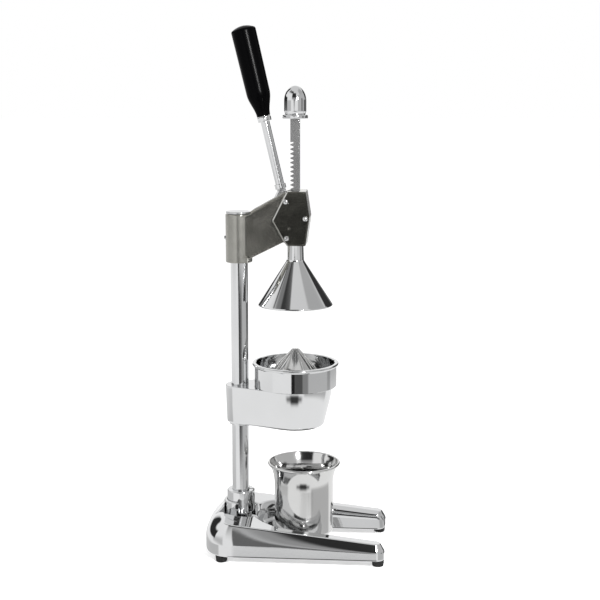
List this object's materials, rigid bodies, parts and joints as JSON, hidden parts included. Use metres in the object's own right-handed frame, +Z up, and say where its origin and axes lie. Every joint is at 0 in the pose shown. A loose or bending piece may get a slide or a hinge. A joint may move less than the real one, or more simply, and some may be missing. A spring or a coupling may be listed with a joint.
{
  "type": "lever citrus juice press",
  "caption": "Standing hand press for citrus fruit: a lever turns a gear that drives a toothed rack and a bell-shaped cone down into a strainer ring over a removable cup.",
  "frame": {"origin": "on the table, under the middle of the base", "axes": "+Z up, +X towards the open end of the base where the cup comes out, +Y towards the lever's side"},
  "size_m": [0.211, 0.136, 0.6092],
  "materials": {
    "polished_metal": "polished, mirror bright",
    "plain_steel": "bright turned steel",
    "grey_enamel": "satin grey enamel",
    "dark_enamel": "satin dark enamel",
    "black_gloss": "gloss black",
    "black_rubber": "matt black",
    "bronze": "turned bronze"
  },
  "bodies": {
    "frame": {"base_casting": "polished_metal", "foot_rear_near": "black_rubber", "foot_rear_far": "black_rubber", "foot_front_near": "black_rubber", "foot_front_far": "black_rubber", "foot_screw_rear_near": "plain_steel", "foot_screw_rear_far": "plain_steel", "foot_screw_front_near": "plain_steel", "foot_screw_front_far": "plain_steel", "column": "polished_metal", "column_bolt": "plain_steel", "column_washer": "plain_steel", "base_collar": "polished_metal", "base_collar_screw": "plain_steel", "bowl_bracket": "polished_metal", "bracket_screw": "plain_steel", "strainer_ring": "polished_metal", "strainer_cone": "plain_steel", "head_arm": "grey_enamel", "column_cap": "plain_steel", "head_set_screw": "plain_steel", "cover_plate_near": "dark_enamel", "cover_plate_far": "dark_enamel", "plate_screw_near_1": "plain_steel", "plate_screw_near_2": "plain_steel", "plate_screw_near_3": "plain_steel", "plate_screw_far_1": "plain_steel", "plate_screw_far_2": "plain_steel", "plate_screw_far_3": "plain_steel", "shaft_bush": "bronze"},
    "lever": {"drive_gear": "plain_steel", "gear_shaft": "plain_steel", "lever_hub": "polished_metal", "hub_nut": "polished_metal", "lever_collar": "polished_metal", "lever_rod": "polished_metal", "grip_ferrule": "polished_metal", "lever_grip": "black_gloss"},
    "press": {"rack": "polished_metal", "rack_knob": "polished_metal", "press_cone": "polished_metal", "cone_nut": "plain_steel"},
    "cup": {"juice_cup": "polished_metal"}
  },
  "joints": [
    {"name": "lever_turn", "type": "hinge", "parent": "frame", "child": "lever", "pos_m": [-0.02758, 0, 0.385], "axis": [0, 1, 0], "range_deg": [0, 156]},
    {"name": "press_slide", "type": "slide", "parent": "frame", "child": "press", "axis": [0, 0, -1], "range_m": [0, 0.0611]},
    {"name": "cup_out", "type": "slide", "parent": "frame", "child": "cup", "axis": [1, 0, 0], "range_m": [0, 0.12]}
  ],
  "couplings": [
    {"joint": "press_slide", "follows": "lever_turn", "m_per_rad": 0.0224}
  ]
}
